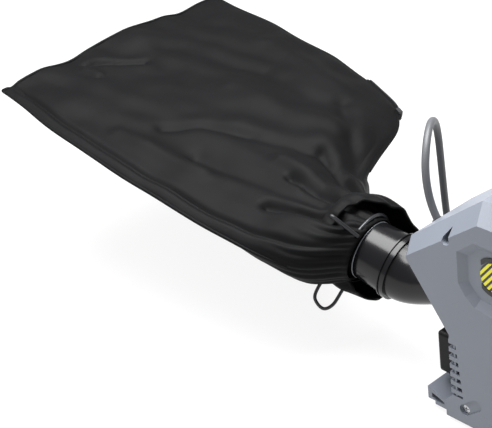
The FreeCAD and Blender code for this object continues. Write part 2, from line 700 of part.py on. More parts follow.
def port_base():
    """The black adaptor from the port's step ring down to the duct."""
    duct_direction = (V(*DUCT_PATH[1]) - V(*DUCT_PATH[0])).normalize()

    def body(shrink):
        start = SLEEVE_LENGTH + STEP_RING_LENGTH
        a = port_circle(start, SLEEVE_STEP_R - 1 - shrink)
        b = port_circle(start + 12, SLEEVE_STEP_R - 2 - shrink)
        c = Part.Wire([Part.makeCircle(DUCT_R - shrink, BASE_END - duct_direction * 14,
                                       duct_direction)])
        d = Part.Wire([Part.makeCircle(DUCT_R - shrink, BASE_END, duct_direction)])
        return Part.makeLoft([a, b, c, d], True, False)

    return body(0).cut(body(2.6))


def step_ring():
    x0 = SLEEVE_LENGTH
    band = ring(STEP_RING_R, SLEEVE_STEP_R - 3.6, STEP_RING_LENGTH, (x0, 0, 0))
    groove = ring(STEP_RING_R + 2, STEP_RING_R - 1.6, 2.2, (x0 + 1.2, 0, 0))
    return in_port(band.cut(groove))


def connector_sleeve():
    outer = Part.makeCone(SLEEVE_RIM_R, SLEEVE_STEP_R, SLEEVE_LENGTH, V(0, 0, 0), V(1, 0, 0))
    inner = Part.makeCone(SLEEVE_RIM_R - SLEEVE_WALL, SLEEVE_STEP_R - SLEEVE_WALL, SLEEVE_LENGTH,
                          V(0, 0, 0), V(1, 0, 0))
    spigot = ring(SPIGOT_R, SPIGOT_R - SLEEVE_WALL, SPIGOT_LENGTH + 0.5, (-SPIGOT_LENGTH, 0, 0))
    return in_port(outer.cut(inner).fuse(spigot))


# Sections across the bag: place along the port, right edge, left edge, half thickness.
BAG_SECTIONS = [(-30, -46, 46, 42), (-72, -74, 94, 37), (-125, -83, 220, 31), (-210, -85, 262, 25),
                (-330, -80, 279, 18)]
BAG_REAR = [(-500, -66), (-474, 284)]
BAG_EDGE = 7.0               # half thickness along the bag's edges and at its rear


def bag_body(shrink):
    """The bag's outside, or its inside when shrink is the cloth's thickness."""
    wires = []
    for x, y0, y1, half in BAG_SECTIONS:
        y0, y1, half, edge = y0 + shrink, y1 - shrink, half - shrink, BAG_EDGE - shrink / 2
        corners = [(y0, -edge), (y0, edge), (y0 + 22, half), (y1 - 40, half), (y1, edge), (y1, -edge),
                   (y1 - 40, -half), (y0 + 22, -half)]
        points = [V(x, y, z) for y, z in corners]
        wires.append(Part.makePolygon(points + points[:1]))
    (x0, y0), (x1, y1) = BAG_REAR
    x0, x1, y0, y1 = x0 + shrink, x1 + shrink, y0 + shrink, y1 - shrink
    rear = []
    for share, side in ((0, -0.5), (0, 0.5), (0.07, 1), (0.88, 1), (1, 0.5), (1, -0.5), (0.88, -1),
                        (0.07, -1)):
        rear.append(V(x0 + (x1 - x0) * share, y0 + (y1 - y0) * share, side * (BAG_EDGE - shrink)))
    wires.append(Part.makePolygon(rear + rear[:1]))
    return loft(wires)


def revolved(profile):
    """A solid of revolution about the port's axis from (x, r) points."""
    x0, x1 = profile[0][0], profile[-1][0]
    points = [V(x0, 0, 0)] + [V(x, 0, r) for x, r in profile] + [V(x1, 0, 0)]
    face = Part.Face(Part.makePolygon(points + points[:1]))
    return face.revolve(V(0, 0, 0), V(1, 0, 0), 360)


CUFF_PROFILE = [(-62, 40), (-36, 48), (-10, 54), (6, 57), (16, 55), (38, 48)]
THROAT_PROFILE = [(-52, 64), (-38, 48), (-14, SLEEVE_RIM_R + 4.1), (-1.5, SLEEVE_RIM_R + 2.4)]
LIP_X = 4.0                  # where the cuff's slanted lip crosses the port's axis
LIP_SLOPE = 0.3
LOOP_ANGLE = 221.0           # the clamp's open loop, around the port's axis
LOOP_REACH = 30.0
LOOP_WIDTH = 21.0
EAR_ANGLE = 128.0            # its flat ear, which lies back over the cloth
EAR_REACH = 32.0
EAR_LEAN = -20.0


def bag():
    """Cloth walls, a throat gathered around the port, and a loose cuff outside it."""
    outer = bag_body(0).fuse(revolved(CUFF_PROFILE))
    cavity = bag_body(BAG_WALL).fuse(revolved([(x, r - BAG_WALL) for x, r in CUFF_PROFILE]))
    front = cylinder(CUFF_PROFILE[-1][1] - BAG_WALL, 20, (CUFF_PROFILE[-1][0] - 5, 0, 0))
    cloth = outer.cut([cavity, front])
    throat = revolved(THROAT_PROFILE)
    inside = revolved([(x, r - BAG_WALL) for x, r in THROAT_PROFILE])
    ends = [cylinder(THROAT_PROFILE[i][1] - BAG_WALL, 2, (THROAT_PROFILE[i][0] - 1, 0, 0))
            for i in (0, -1)]
    throat = throat.cut([inside] + ends).common(outer)
    return in_port(cloth.fuse(throat).cut([lip_tool(), ear_gap()]))


def lip_tool():
    """Everything in front of the cuff's lip, a plane that slants across the port's axis."""
    size = 150
    corners = [V(LIP_X + LIP_SLOPE * (y - z), y, z)
               for y, z in ((-size, -size), (size, -size), (size, size), (-size, size))]
    face = Part.Face(Part.makePolygon(corners + corners[:1]))
    return face.extrude(V(200, 0, 0))


def ear_gap():
    """The gap in the cuff that the clamp's lower loop passes through."""
    gap = box(CLAMP_X - 3.5, 60, 42, 90, -4, 4)
    gap.rotate(V(0, 0, 0), V(1, 0, 0), LOOP_ANGLE)
    return gap


def around_port(angle):
    """Directions in the port's frame: straight out from its axis at an angle, and across that."""
    out = V(0, math.cos(math.radians(angle)), math.sin(math.radians(angle)))
    return out, V(0, -out.z, out.y)


def bag_clamp():
    """One piece of spring wire: a ring around the throat, an open loop and a flat ear."""
    band = Part.makeTorus(CLAMP_RING_R, CLAMP_WIRE_R, V(CLAMP_X, 0, 0), V(1, 0, 0))
    out, across = around_port(LOOP_ANGLE)
    start = V(CLAMP_X, 0, 0) + out * (CLAMP_RING_R - 1.0)
    end = V(CLAMP_X - LOOP_WIDTH, 0, 0) + out * (CLAMP_RING_R + 16.5)
    tip = V(0, 0, 0) + out * (CLAMP_RING_R + LOOP_REACH)
    loop = [start, tip + V(CLAMP_X, 0, 0), tip + V(CLAMP_X - LOOP_WIDTH, 0, 0), end]
    out, across = around_port(EAR_ANGLE)
    start = V(CLAMP_X, 0, 0) + out * (CLAMP_RING_R - 1.0)
    tip = start + out * EAR_REACH + V(EAR_LEAN, 0, 0)
    ear = [start + across * 4, tip + across * 4, tip - across * 4, start - across * 4]
    arms = [tube_along([tuple(p) for p in points], CLAMP_WIRE_R) for points in (loop, ear)]
    return in_port(band.fuse(arms))


PULL_PIN_R = 0.9
PULL_Y = -7.4                # the pull's pin, out from the bag's edge and below the slider
PULL_Z = -6.6


def zipper():
    """The zip's tape, slider and pull, along the straight edge behind the bag's front left corner."""
    (x0, _, y0, _), (x1, _, y1, _) = BAG_SECTIONS[2:4]
    edge_angle = math.degrees(math.atan2(y1 - y0, x1 - x0))
    along_edge = FreeCAD.Placement(V(x0, y0, 0), FreeCAD.Rotation(V(0, 0, 1), edge_angle))
    length = math.hypot(x1 - x0, y1 - y0)
    tape = box(5, length - 4, -4.5, -0.7, -1.5, 1.5)
    slider = box(5, 14, -10.4, -4.9, -4, 4)
    for x0, x1 in ((5, 7), (12, 14)):
        slider = slider.fuse(box(x0, x1, -9.4, -5.4, -8.4, -3.9))
    slider = slider.fuse(cylinder(PULL_PIN_R, 6, (6.5, PULL_Y, PULL_Z), V(1, 0, 0)))
    pull = cylinder(2.0, 4.2, (7.4, PULL_Y, PULL_Z), V(1, 0, 0))
    pull = pull.fuse(box(7.4, 11.6, PULL_Y - 1.4, PULL_Y + 1.4, -22, PULL_Z))
    pull = pull.cut(cylinder(PULL_PIN_R + 0.25, 6, (6.5, PULL_Y, PULL_Z), V(1, 0, 0)))
    placed = []
    for piece in (tape, slider, pull):
        piece.Placement = along_edge
        placed.append(in_port(piece))
    return placed


# --- mains cord ---------------------------------------------------------------------------------
def relief_direction():
    return (V(*CORD_ROUTE[1]) - V(*CORD_ROUTE[0])).normalize()


def relief_seat():
    return V(*CORD_ROUTE[0]) - relief_direction() * 1.0


def strain_relief():
    """A flange held in the housing and a sleeve that tapers over the cord."""
    seat, direction = relief_seat(), relief_direction()
    flange = cylinder(7.7, 2.8, seat + direction * 0.2, direction)
    stem = cylinder(6.0, 8, seat + direction * 0.2, direction)
    cone = Part.makeCone(6.0, 5.0, 6, seat + direction * 8.2, direction)
    bore = cylinder(CORD_R + 0.1, 40, seat - direction * 5, direction)
    return flange.fuse([stem, cone]).cut(bore)


CORD_ROUTE = [(-121, 0, 170), (-134, 0, 187), (-141.3, 0.5, 224), (-150.8, 15.3, 249.5),
              (-165.8, 38.4, 258.5), (-180.8, 61.5, 249.5), (-190, 75.8, 226), (-194, 82, 188),
              (-195, 86, 130), (-191, 89, 66), (-180, 92, 24), (-152, 97, 4), (-110, 106, 4),
              (-66, 113, 4), (-16, 116, 4)]


def cord_tube():
    radii = []
    tube = tube_along(CORD_ROUTE, CORD_R, radii)
    length = path_wire(CORD_ROUTE).Length
    print("cord tube radii", radii)
    print("cord tube length", round(length, 1), "volume over section times length",
          round(tube.Volume / (math.pi * CORD_R ** 2 * length), 4))
    return tube


def coil_half_width():
    return COIL_ACROSS * CORD_R


def coil_height():
    return COIL_LAYERS * 2 * CORD_R


def cord_coil():
    outer = COIL_MEAN_R + coil_half_width()
    inner = COIL_MEAN_R - coil_half_width()
    return ring(outer, inner, coil_height(), COIL_CENTRE, V(0, 0, 1))


def cord_tie():
    reach = coil_half_width() + 0.4
    x0 = COIL_CENTRE.x + COIL_MEAN_R
    y = COIL_CENTRE.y
    top = coil_height()
    outside = box(x0 - reach - 1.5, x0 + reach + 1.5, y - 5, y + 5, 0.0, top + 2.0)
    return outside.cut(box(x0 - reach, x0 + reach, y - 6, y + 6, -1, top + 0.4))


def plug():
    x, y = PLUG_POINT
    body = box(x, x + 34, y - 14, y + 14, 0, 26)
    body = body.makeFillet(4.0, [e for e in body.Edges if e.CenterOfMass.z > 2])
    neck = Part.makeCone(5.0, 8.0, 18, V(x - 18, y, 13), V(1, 0, 0))
    return body.fuse(neck)


PLUG_POINT = (62.5, 116.0)


def plug_pins():
    x, y = PLUG_POINT
    return Part.makeCompound([cylinder(2.0, 19, (x + 34, y + dy, 13)) for dy in (-9.5, 9.5)])


def build():
    tape, slider, pull = zipper()
    nodes = {
        "housing_right": housing_right(),
        "housing_left": housing_left(),
        "housing_screws": housing_screws(),
        "panel_disc": panel_disc(),
        "panel_arcs": panel_arcs(),
        "speed_dial": speed_dial(),
        "rear_bumper": rear_bumper(),
        "foot_bracket": foot_bracket(),
        "base_skid": base_skid(),
        "motor_can": motor_can(),
        "stator": stator(),
        "rotor": rotor(),
        "commutator": commutator(),
        "motor_shaft": motor_shaft(),
        "brush_holders": brush_holders(),
        "bearing_rear": bearing(9.0, SHAFT_X0 - 1, SHAFT_X0 + 6),
        "bearing_front": bearing(11.0, SHAFT_X0 + 80, SHAFT_X0 + 87),
        "motor_plate": motor_plate(),
        "fan_volute": fan_volute(),
        "discharge_duct": discharge_duct(),
        "impeller": impeller(),
        "mulching_blade": mulching_blade(),
        "fan_washer": fan_washer(),
        "fan_nut": fan_nut(),
        "intake_cover": intake_cover(),
        "cover_screws": cover_screws(),
        "suction_tube": suction_tube(),
        "nozzle": nozzle(),
        "nozzle_axle": nozzle_axle(),
        "nozzle_wheel_right": nozzle_wheel(-1),
        "nozzle_wheel_left": nozzle_wheel(1),
        "axle_caps": axle_caps(),
        "handle_right": handle_right(),
        "handle_left": handle_left(),
        "handle_screws": handle_screws(),
        "grip": grip(),
        "trigger": trigger(),
        "trigger_pin": trigger_pin(),
        "trigger_spring": trigger_spring(),
        "switch_module": switch_module(),
        "lock_button": lock_button(),
        "port_base": port_base(),
        "step_ring": step_ring(),
        "connector_sleeve": connector_sleeve(),
        "bag": bag(),
        "bag_clamp": bag_clamp(),
        "zip_tape": tape,
        "zip_slider": slider,
        "zip_pull": pull,
        "strain_relief": strain_relief(),
        "cord_tube": cord_tube(),
        "cord_coil": cord_coil(),
        "cord_tie": cord_tie(),
        "plug": plug(),
        "plug_pins": plug_pins(),
    }
    return nodes


if __name__ == "__main__":
    for name, shape in build().items():
        export(name, shape)
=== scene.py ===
"""Builds the finished look of a corded hand-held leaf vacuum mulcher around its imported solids."""
import json
import math

import bmesh
import bpy
from mathutils import Matrix, Vector, noise


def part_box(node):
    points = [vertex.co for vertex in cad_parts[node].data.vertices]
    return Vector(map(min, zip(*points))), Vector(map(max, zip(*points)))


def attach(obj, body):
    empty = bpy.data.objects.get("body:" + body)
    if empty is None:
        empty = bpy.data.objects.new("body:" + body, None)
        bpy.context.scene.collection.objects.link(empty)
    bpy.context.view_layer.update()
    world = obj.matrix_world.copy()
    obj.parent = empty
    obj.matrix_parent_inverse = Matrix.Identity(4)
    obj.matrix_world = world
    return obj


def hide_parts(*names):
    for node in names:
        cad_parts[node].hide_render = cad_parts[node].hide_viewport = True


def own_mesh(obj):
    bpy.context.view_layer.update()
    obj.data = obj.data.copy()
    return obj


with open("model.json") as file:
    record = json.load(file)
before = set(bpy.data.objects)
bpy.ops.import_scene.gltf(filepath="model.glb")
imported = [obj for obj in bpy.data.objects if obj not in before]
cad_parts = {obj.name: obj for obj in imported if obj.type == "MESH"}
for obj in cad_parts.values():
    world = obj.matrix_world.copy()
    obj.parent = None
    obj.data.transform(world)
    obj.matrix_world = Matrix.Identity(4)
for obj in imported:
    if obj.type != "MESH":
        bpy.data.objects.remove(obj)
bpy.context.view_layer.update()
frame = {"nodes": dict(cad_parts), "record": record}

bl_info = {
    "name": "Leaf Vacuum Mulcher",
    "version": (1, 0, 0),
    "blender": (4, 5, 0),
    "location": "View3D > Sidebar > Leaf Vacuum",
    "description": "Builds a corded leaf vacuum mulcher with its cloth bag around the packed frame",
    "category": "Object",
}

# The outlet port's own frame: x runs along the port towards the machine, y to its left, z up.
PORT_RIM = Vector((-0.2213, -0.004, 0.113))
PORT_TURN = Matrix.Rotation(math.radians(7), 4, "Z") @ Matrix.Rotation(math.radians(14), 4, "Y")
PORT_FRAME = Matrix.Translation(PORT_RIM) @ PORT_TURN

# The bag's outline: distance behind the port's rim, then where its left and right edges lie.
LEFT_EDGE = [(0.0, 0.0345), (0.02, 0.043), (0.045, 0.056), (0.061, 0.077), (0.070, 0.089), (0.080, 0.096),
             (0.089, 0.122), (0.101, 0.163), (0.106, 0.193), (0.125, 0.220), (0.147, 0.236), (0.202, 0.259),
             (0.27, 0.272), (0.38, 0.281), (0.50, 0.283)]
RIGHT_EDGE = [(0.0, 0.0345), (0.010, 0.050), (0.022, 0.069), (0.04, 0.083), (0.09, 0.092), (0.2, 0.095),
              (0.33, 0.090), (0.42, 0.080), (0.50, 0.066)]
HALF_THICKNESS = [(0.0, 0.0345), (0.03, 0.039), (0.06, 0.037), (0.10, 0.033), (0.16, 0.027), (0.25, 0.021),
                  (0.36, 0.015), (0.50, 0.006)]
BAG_LENGTH = 0.500
BAG_REAR_SLANT = 0.026

# The cord's route, in metres, from the strain relief down to the floor and on to the coil.
CORD_ROUTE = [(-0.121, 0, 0.170), (-0.134, 0, 0.187), (-0.1413, 0.0005, 0.224),
              (-0.1508, 0.0153, 0.2495), (-0.1658, 0.0384, 0.2585), (-0.1808, 0.0615, 0.2495),
              (-0.190, 0.0758, 0.226), (-0.194, 0.082, 0.188), (-0.195, 0.086, 0.130),
              (-0.191, 0.089, 0.066), (-0.180, 0.092, 0.024), (-0.152, 0.097, 0.004),
              (-0.110, 0.106, 0.004), (-0.066, 0.113, 0.004), (-0.016, 0.116, 0.004)]
COIL_CENTRE = (0.014, 0.168)
COIL_RADII = (0.052, 0.044, 0.036)
COIL_POINTS = 24
PLUG_END = (0.046, 0.116, 0.012)


class LeafVacSizes(bpy.types.PropertyGroup):
    cord_radius: bpy.props.FloatProperty(
        name="Cord radius", description="Radius of the mains cord's sheath", default=0.004,
        unit="LENGTH")
    cord_length: bpy.props.FloatProperty(
        name="Cord length", description="Whole length of the mains cord, coil and all", default=2.19,
        unit="LENGTH")
    wire_radius: bpy.props.FloatProperty(
        name="Clamp wire radius", description="Radius of the bag clamp's spring wire", default=0.0019,
        unit="LENGTH")
    edge_round: bpy.props.FloatProperty(
        name="Edge rounding", description="Width of the small rounds on moulded edges", default=0.0010,
        unit="LENGTH")
    crease_depth: bpy.props.FloatProperty(
        name="Crease depth", description="Depth of the bag's deepest creases", default=0.0145,
        unit="LENGTH")


class LeafVacColours(bpy.types.PropertyGroup):
    housing: bpy.props.FloatVectorProperty(
        name="Housing", description="Moulded housing colour", subtype="COLOR", size=3,
        default=(0.155, 0.17, 0.202), min=0, max=1)
    black: bpy.props.FloatVectorProperty(
        name="Black plastic", description="Textured black plastic colour", subtype="COLOR", size=3,
        default=(0.004, 0.004, 0.0045), min=0, max=1)
    cloth: bpy.props.FloatVectorProperty(
        name="Bag cloth", description="Woven cloth colour", subtype="COLOR", size=3,
        default=(0.0020, 0.0020, 0.0024), min=0, max=1)
    cord: bpy.props.FloatVectorProperty(
        name="Cord", description="Cord sheath colour", subtype="COLOR", size=3,
        default=(0.08, 0.083, 0.09), min=0, max=1)
    accent: bpy.props.FloatVectorProperty(
        name="Controls", description="Trigger and lock button colour", subtype="COLOR", size=3,
        default=(0.55, 0.14, 0.02), min=0, max=1)


# --- materials ----------------------------------------------------------------------------------
def new_material(name, colour, roughness, metallic=0.0):
    material = bpy.data.materials.new(name)
    material.use_nodes = True
    shader = material.node_tree.nodes["Principled BSDF"]
    shader.inputs["Base Color"].default_value = (*colour, 1)
    shader.inputs["Roughness"].default_value = roughness
    shader.inputs["Metallic"].default_value = metallic
    material.diffuse_color = (*colour, 1)
    return material


def add_grain(material, scale, strength, distance=0.0004, detail=3.0):
    """A fine moulded or worn texture, as bump on object coordinates."""
    nodes, links = material.node_tree.nodes, material.node_tree.links
    coords = nodes.new("ShaderNodeTexCoord")
    grain = nodes.new("ShaderNodeTexNoise")
    grain.inputs["Scale"].default_value = scale
    grain.inputs["Detail"].default_value = detail
    bump = nodes.new("ShaderNodeBump")
    bump.inputs["Strength"].default_value = strength
    bump.inputs["Distance"].default_value = distance
    links.new(coords.outputs["Object"], grain.inputs["Vector"])
    links.new(grain.outputs["Fac"], bump.inputs["Height"])
    links.new(bump.outputs["Normal"], nodes["Principled BSDF"].inputs["Normal"])
    return coords, grain, bump


def add_mottle(material, colour, scale, spread):
    """A slow change of tone over the surface, so that it isn't one flat colour."""
    nodes, links = material.node_tree.nodes, material.node_tree.links
    coords = nodes.new("ShaderNodeTexCoord")
    cloud = nodes.new("ShaderNodeTexNoise")
    cloud.inputs["Scale"].default_value = scale
    cloud.inputs["Detail"].default_value = 4
    ramp = nodes.new("ShaderNodeValToRGB")
    ramp.color_ramp.elements[0].position = 0.3
    ramp.color_ramp.elements[1].position = 0.7
    ramp.color_ramp.elements[0].color = (*[c * (1 - spread) for c in colour], 1)
    ramp.color_ramp.elements[1].color = (*[c * (1 + spread) for c in colour], 1)
    links.new(coords.outputs["Object"], cloud.inputs["Vector"])
    links.new(cloud.outputs["Fac"], ramp.inputs["Fac"])
    links.new(ramp.outputs["Color"], nodes["Principled BSDF"].inputs["Base Color"])


def housing_plastic():
    colour = tuple(bpy.context.scene.leaf_vac_colours.housing)
    material = new_material("housing grey plastic", colour, 0.42)
    add_grain(material, 900, 0.06)
    add_mottle(material, colour, 9, 0.035)
    return material


def black_plastic():
    colour = tuple(bpy.context.scene.leaf_vac_colours.black)
    material = new_material("textured black plastic", colour, 0.4)
    material.node_tree.nodes["Principled BSDF"].inputs["Specular IOR Level"].default_value = 0.13
    add_grain(material, 1400, 0.18)
    return material


def gloss_black():
    material = new_material("gloss black plastic", (0.005, 0.005, 0.006), 0.2)
    material.node_tree.nodes["Principled BSDF"].inputs["Specular IOR Level"].default_value = 0.3
    add_grain(material, 160, 0.02)
    return material


def bag_cloth():
    """Near-black plain weave: two crossed sets of ribs, with a faint sheen."""
    colour = tuple(bpy.context.scene.leaf_vac_colours.cloth)
    material = new_material("woven bag cloth", colour, 0.58)
    nodes, links = material.node_tree.nodes, material.node_tree.links
    shader = nodes["Principled BSDF"]
    shader.inputs["Sheen Weight"].default_value = 0.01
    shader.inputs["Sheen Roughness"].default_value = 0.45
    shader.inputs["Specular IOR Level"].default_value = 0.095
    coords = nodes.new("ShaderNodeTexCoord")
    weave = []
    for direction in ("X", "Y"):
        rib = nodes.new("ShaderNodeTexWave")
        rib.bands_direction = direction
        rib.inputs["Scale"].default_value = 260
        rib.inputs["Distortion"].default_value = 1.2
        rib.inputs["Detail Scale"].default_value = 40
        links.new(coords.outputs["Object"], rib.inputs["Vector"])
        weave.append(rib)
    cross = nodes.new("ShaderNodeMath")
    cross.operation = "ADD"
    links.new(weave[0].outputs["Fac"], cross.inputs[0])
    links.new(weave[1].outputs["Fac"], cross.inputs[1])
    bump = nodes.new("ShaderNodeBump")
    bump.inputs["Strength"].default_value = 0.22
    bump.inputs["Distance"].default_value = 0.0005
    links.new(cross.outputs["Value"], bump.inputs["Height"])
    links.new(bump.outputs["Normal"], shader.inputs["Normal"])
    add_mottle(material, colour, 14, 0.18)
    return material


def steel():
    material = new_material("brushed steel", (0.52, 0.53, 0.55), 0.28, 1.0)
    add_grain(material, 500, 0.05)
    return material


def striped_disc():
    """Yellow with slanting black stripes, in the disc's own plane."""
    material = new_material("striped disc", (0.62, 0.57, 0.02), 0.5)
    nodes, links = material.node_tree.nodes, material.node_tree.links
    coords = nodes.new("ShaderNodeTexCoord")
    turn = nodes.new("ShaderNodeMapping")
    turn.inputs["Rotation"].default_value = (0, math.radians(-40), 0)
    stripes = nodes.new("ShaderNodeTexWave")
    stripes.bands_direction = "X"
    stripes.inputs["Scale"].default_value = 62
    ramp = nodes.new("ShaderNodeValToRGB")
    ramp.color_ramp.interpolation = "CONSTANT"
    ramp.color_ramp.elements[0].color = (0.02, 0.02, 0.015, 1)
    ramp.color_ramp.elements[1].position = 0.42
    ramp.color_ramp.elements[1].color = (0.72, 0.66, 0.03, 1)
    links.new(coords.outputs["Object"], turn.inputs["Vector"])
    links.new(turn.outputs["Vector"], stripes.inputs["Vector"])
    links.new(stripes.outputs["Fac"], ramp.inputs["Fac"])
    links.new(ramp.outputs["Color"], nodes["Principled BSDF"].inputs["Base Color"])
    return material


def cord_sheath():
    material = new_material("cord sheath", tuple(bpy.context.scene.leaf_vac_colours.cord), 0.45)
    add_grain(material, 700, 0.05)
    return material


MAKERS = {
    "housing_grey": housing_plastic,
    "black_plastic": black_plastic,
    "gloss_black": gloss_black,
    "steel": steel,
    "motor_metal": lambda: new_material("motor can paint", (0.2, 0.21, 0.23), 0.35, 0.6),
    "core_iron": lambda: new_material("laminated iron", (0.1, 0.1, 0.11), 0.5, 0.8),
    "copper": lambda: new_material("copper", (0.72, 0.36, 0.18), 0.3, 1.0),
    "disc_yellow": striped_disc,
    "disc_black": lambda: new_material("plain black print", (0.008, 0.008, 0.008), 0.45),
    "control_orange": lambda: new_material(
        "control orange", tuple(bpy.context.scene.leaf_vac_colours.accent), 0.35),
    "soft_black": lambda: new_material("soft black rubber", (0.016, 0.016, 0.017), 0.62),
    "bag_cloth": bag_cloth,
    "wire_black": lambda: new_material("black coated wire", (0.03, 0.031, 0.034), 0.32, 0.3),
    "cord_grey": cord_sheath,
    "pin_brass": lambda: new_material("plated brass", (0.75, 0.62, 0.32), 0.2, 1.0),
}


def material_for(slot):
    """The one material made for a record slot, built the first time that it is needed."""
    tagged = [m for m in bpy.data.materials if m.get("leaf_vac_slot") == slot]
    if tagged:
        return tagged[0]
    material = MAKERS[slot]()
    material["leaf_vac_slot"] = slot
    return material


# --- shared builders ----------------------------------------------------------------------------
def slot_of(node):
    for part in frame["record"]["subparts"]:
        if part["node"] == node:
            return part["material_slot"]
    raise RuntimeError(f"no sub-part called {node}")


def body_of_node(node):
    for body, nodes in frame["record"]["behaviour"]["bodies"].items():
        if node in nodes:
            return body
    raise RuntimeError(f"no body holds {node}")


def dress_node(node, edge=0.0):
    """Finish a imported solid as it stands: its material, and small rounds on its edges."""
    piece = frame["nodes"][node]
    piece.data.materials.clear()
    piece.data.materials.append(material_for(slot_of(node)))
    if edge > 0:
        flat = piece.modifiers.new("merge flats", "DECIMATE")
        flat.decimate_type = "DISSOLVE"
        flat.angle_limit = math.radians(0.6)
        rounding = piece.modifiers.new("edge rounds", "BEVEL")
        rounding.width = edge
        rounding.segments = 2
        rounding.limit_method = "ANGLE"
        rounding.angle_limit = math.radians(28)
        rounding.harden_normals = True
    return piece


def object_from(name, mesh, slot, body, node=None, smooth=True):
    piece = bpy.data.objects.new(name, mesh)
    bpy.context.scene.collection.objects.link(piece)
    mesh.materials.append(material_for(slot))
    for polygon in mesh.polygons:
        polygon.use_smooth = smooth
    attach(piece, body)
    if node:
        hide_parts(*([node] if isinstance(node, str) else node))
    return piece


def mesh_from(name, points, faces):
    mesh = bpy.data.meshes.new(name)
    mesh.from_pydata([tuple(p) for p in points], [], faces)
    mesh.validate()
    mesh.update()
    return mesh


def tube_mesh(name, points, radius, closed=False, sides=12):
    """A mesh tube along a smooth curve through points in the row frame."""
    curve = bpy.data.curves.new(name, "CURVE")
    curve.dimensions = "3D"
    curve.bevel_depth = radius
    curve.bevel_resolution = sides // 4
    curve.use_fill_caps = True
    curve.resolution_u = 10
    spline = curve.splines.new("NURBS")
    spline.points.add(len(points) - 1)
    for target, point in zip(spline.points, points):
        target.co = (*point, 1)
    spline.order_u = 4
    spline.use_cyclic_u = closed
    spline.use_endpoint_u = not closed
    holder = bpy.data.objects.new(name, curve)
    bpy.context.scene.collection.objects.link(holder)
    bpy.context.view_layer.update()
    mesh = bpy.data.meshes.new_from_object(holder.evaluated_get(bpy.context.evaluated_depsgraph_get()))
    bpy.data.objects.remove(holder)
    bpy.data.curves.remove(curve)
    mesh.name = name
    return mesh


def through(points, steps=6):
    """More points, on a smooth curve that passes through every one given."""
    ends = [points[0] * 2 - points[1]] + points + [points[-1] * 2 - points[-2]]
    dense = []
    for a, b, c, d in zip(ends, ends[1:], ends[2:], ends[3:]):
        for i in range(steps):
            t = i / steps
            dense.append(0.5 * ((2 * b) + (c - a) * t + (2 * a - 5 * b + 4 * c - d) * t * t
                                + (3 * b - a - 3 * c + d) * t ** 3))
    return dense + [points[-1]]


def between(table, x):
    """Smooth interpolation in a list of (place, value) pairs."""
    for (x0, y0), (x1, y1) in zip(table, table[1:]):
        if x <= x1:
            share = (x - x0) / (x1 - x0)
            share = min(max(share, 0.0), 1.0)
            return y0 + (y1 - y0) * share
    return table[-1][1]


def smooth_between(table, x, reach=0.012):
    """The same, averaged over a short stretch so that corners round off."""
    steps = 5
    total = 0.0
    for i in range(steps):
        total += between(table, max(0.0, x + reach * (i / (steps - 1) - 0.5) * 2))
    return total / steps


# --- bag ----------------------------------------------------------------------------------------
# Each crease is a line on the bag's face: start, end (behind the rim, then to the left), half width,
# depth as a share of the full crease depth, and the side it is on (1 the upper face, -1 the lower).
CREASES = [
    ((0.300, -0.005), (0.262, 0.028), 0.0075, -0.40, 1),
    ((0.262, 0.028), (0.205, 0.048), 0.0085, -0.50, 1),
    ((0.205, 0.048), (0.120, 0.072), 0.0095, -0.42, 1),
    ((0.475, 0.040), (0.425, 0.088), 0.0050, -0.60, 1),
    ((0.468, 0.030), (0.440, 0.030), 0.0060, 0.40, 1),
    ((0.420, 0.150), (0.300, 0.170), 0.0160, -0.35, 1),
    ((0.350, 0.235), (0.200, 0.200), 0.0180, 0.40, 1),
    ((0.300, 0.110), (0.140, 0.130), 0.0170, 0.45, 1),
    ((0.180, 0.180), (0.090, 0.090), 0.0120, -0.50, 1),
    ((0.230, -0.020), (0.060, -0.010), 0.0120, -0.55, 1),
    ((0.150, 0.030), (0.035, 0.020), 0.0100, 0.60, 1),
    ((0.130, 0.075), (0.040, 0.030), 0.0080, -0.70, 1),
    ((0.120, 0.010), (0.030, 0.000), 0.0060, -0.60, 1),
    ((0.110, -0.040), (0.028, -0.022), 0.0070, -0.80, 1),
    ((0.085, 0.070), (0.040, 0.042), 0.0060, 0.60, 1),
    ((0.330, -0.045), (0.200, -0.040), 0.0100, 0.35, 1),
    ((0.380, 0.050), (0.250, -0.020), 0.0150, 0.35, -1),
    ((0.330, 0.200), (0.150, 0.120), 0.0160, -0.45, -1),
    ((0.220, 0.050), (0.060, 0.020), 0.0120, -0.60, -1),
    ((0.450, 0.180), (0.330, 0.080), 0.0150, -0.35, -1),
    ((0.130, -0.030), (0.040, -0.020), 0.0080, 0.70, -1),
]


def crease_height(along, across, side):
    """How far the creases lift or sink the cloth at a place on one face."""
    here = Vector((along, across))
    ridge, valley = 0.0, 0.0
    for start, end, width, share, face in CREASES:
        if face != side:
            continue
        a, b = Vector(start), Vector(end)
        run = b - a
        place = (here - a).dot(run) / run.length_squared
        clamped = min(max(place, 0.0), 1.0)
        gap = (here - (a + run * clamped)).length
        fade = 1.0
        if place < 0.15 or place > 0.85:
            fade = max(0.0, 1.0 - abs(place - clamped) * 2.0)
        lift = share * math.exp(-((gap / width) ** 2)) * fade
        ridge = max(ridge, lift)
        valley = min(valley, lift)
    return ridge + valley


def bag_outline(along):
    left = smooth_between(LEFT_EDGE, along, 0.005)
    right = smooth_between(RIGHT_EDGE, along)
    wave = 0.0022 * math.sin(along * 52) * min(1.0, along / 0.15)
    return left + wave * 0.6, -right - wave * 0.4


